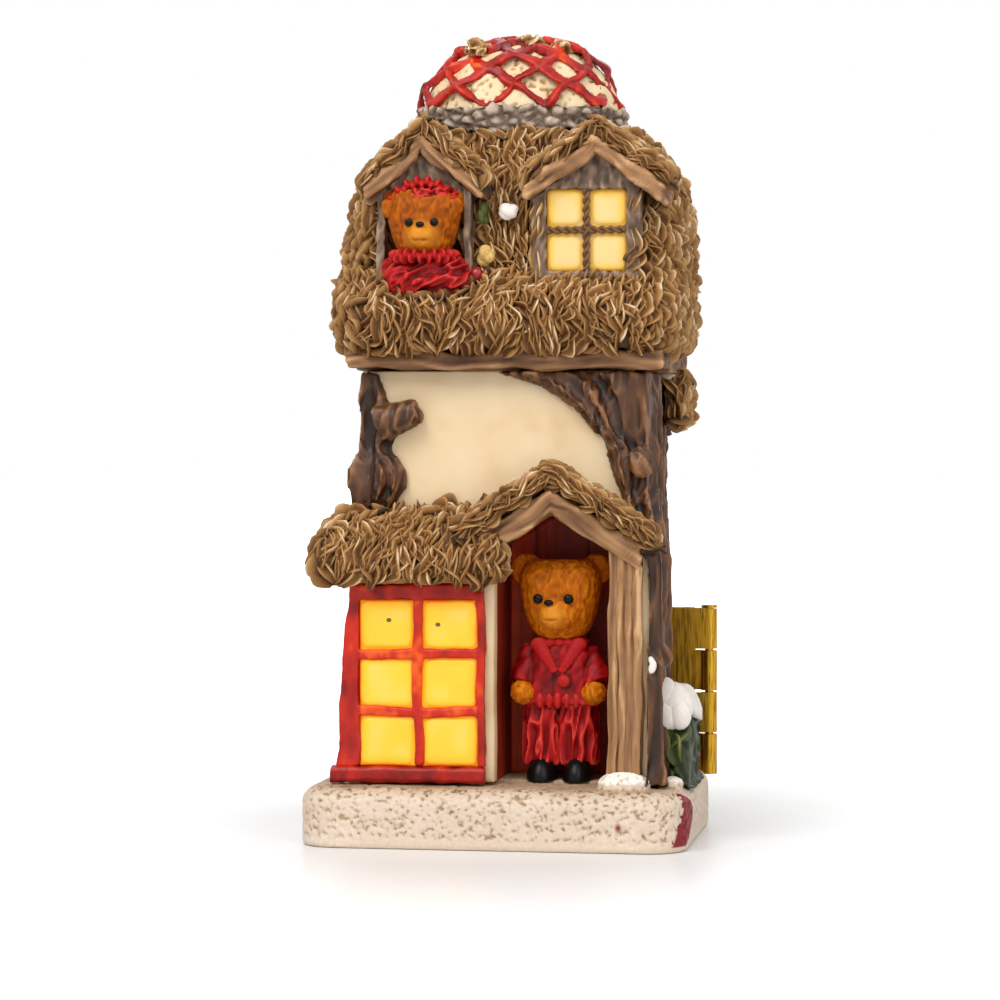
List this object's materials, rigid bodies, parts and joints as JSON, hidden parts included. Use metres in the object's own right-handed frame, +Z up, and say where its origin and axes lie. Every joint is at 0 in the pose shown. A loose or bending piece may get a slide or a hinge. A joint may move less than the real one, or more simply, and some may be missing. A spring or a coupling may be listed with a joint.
{
  "type": "lighted christmas village house",
  "caption": "Small hollow village shop in a tree stump with thatched roofs, two bears, lit windows and a hinged rear hatch over its lamps.",
  "frame": {"origin": "middle of the base's flat underside", "axes": "+Z up, -Y to the shop front, +X to the right as seen from the front"},
  "size_m": [0.0672, 0.0544, 0.1403],
  "materials": {
    "snow": "matt paint, pitted",
    "plaster": "matt paint",
    "planks": "matt paint",
    "lit_pane": "translucent, lit from behind",
    "red_timber": "satin paint",
    "brown_timber": "matt paint, dry-brushed",
    "thatch": "matt paint, dry-brushed",
    "bark": "satin paint, dry-brushed",
    "crown_plaster": "matt paint, pitted",
    "stone": "matt paint",
    "fur": "matt paint",
    "red_cloth": "satin paint",
    "black_shoe": "gloss paint",
    "leaf_green": "satin paint",
    "brass": "scratched",
    "brass_screw": "bright",
    "hatch": "matt paint, dry-brushed",
    "steel": "plated",
    "black_plastic": "fine matt",
    "board": "satin",
    "lamp": "clear tinted",
    "lead": "smooth"
  },
  "bodies": {
    "house": {"snow_base": "snow", "shrub_snow": "snow", "house_shell": "plaster", "doorway_lining": "planks", "shop_window_panes": "lit_pane", "dormer_panes": "lit_pane", "shop_window_frame": "red_timber", "shop_window_sill": "red_timber", "crown_lattice": "red_timber", "porch_post": "brown_timber", "porch_boards": "brown_timber", "eave_plate": "brown_timber", "left_dormer_frame": "brown_timber", "right_dormer_frame": "brown_timber", "left_dormer_boards": "brown_timber", "right_dormer_boards": "brown_timber", "porch_thatch": "thatch", "bay_thatch": "thatch", "eave_thatch": "thatch", "roof_thatch": "thatch", "left_dormer_thatch": "thatch", "right_dormer_thatch": "thatch", "crown_tuft": "thatch", "side_hood": "thatch", "right_trunk": "bark", "left_trunk": "bark", "crown_wall": "crown_plaster", "crown_stones": "stone", "shop_bear_head": "fur", "shop_bear_paws": "fur", "window_bear_head": "fur", "shop_bear_jacket": "red_cloth", "shop_bear_trousers": "red_cloth", "window_bear_cap": "red_cloth", "window_bear_pyjama": "red_cloth", "shop_bear_shoes": "black_shoe", "shrub": "leaf_green", "hinge_house_leaf": "brass", "hinge_pin": "brass", "house_leaf_screws": "brass_screw", "house_magnet": "steel", "battery_lid_screw": "steel", "coin_cells": "steel", "cell_contacts": "steel", "battery_case": "black_plastic", "battery_lid": "black_plastic", "slide_switch": "black_plastic", "lower_lamp_board": "board", "upper_lamp_board": "board", "lower_lamps": "lamp", "upper_lamp": "lamp", "lamp_leads": "lead"},
    "rear_hatch": {"rear_door": "hatch", "hinge_door_leaf": "brass", "door_leaf_screws": "brass_screw", "door_magnet": "steel"},
    "switch_slider": {"switch_knob": "black_plastic"}
  },
  "joints": [
    {"name": "hatch_hinge", "type": "hinge", "parent": "house", "child": "rear_hatch", "pos_m": [0.0325, 0.02485, 0.0234], "axis": [0, 0, -1], "range_deg": [0, 180]},
    {"name": "switch_slide", "type": "slide", "parent": "house", "child": "switch_slider", "axis": [1, 0, 0], "range_m": [0, 0.002]}
  ]
}
